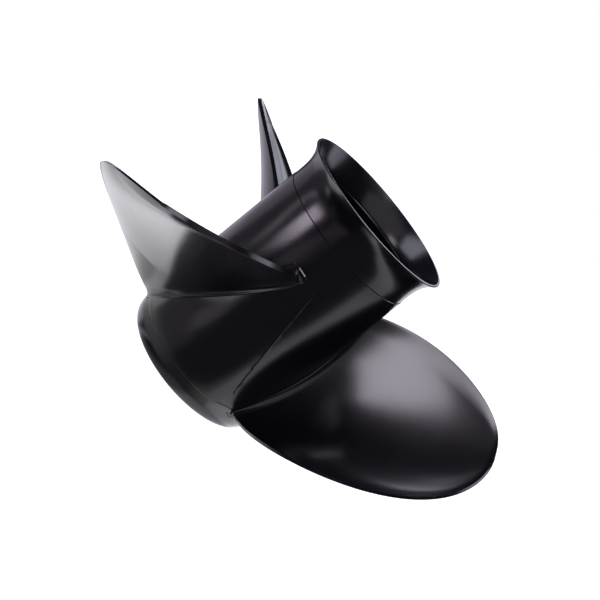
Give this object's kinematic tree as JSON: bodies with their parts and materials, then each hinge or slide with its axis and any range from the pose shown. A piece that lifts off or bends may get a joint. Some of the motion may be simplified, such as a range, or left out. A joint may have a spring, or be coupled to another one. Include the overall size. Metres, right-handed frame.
{
  "type": "outboard boat propeller",
  "caption": "Three-blade right-hand boat propeller with cupped, raked blades on a flared barrel that leads the exhaust through the hub.",
  "frame": {"origin": "on the shaft's line, in the plane of the barrel's front rim, which the part stands on", "axes": "+Z along the shaft's line towards the flared aft end; +X along the reference line of the first blade"},
  "size_m": [0.2521, 0.262, 0.1331],
  "materials": {
    "black_enamel": "semi-gloss black enamel on die-cast aluminium",
    "black_rubber": "matt moulded rubber",
    "bronze": "machined bronze"
  },
  "bodies": {
    "root": {"propeller_casting": "black_enamel", "rubber_bush": "black_rubber", "splined_sleeve": "bronze"}
  },
  "joints": []
}
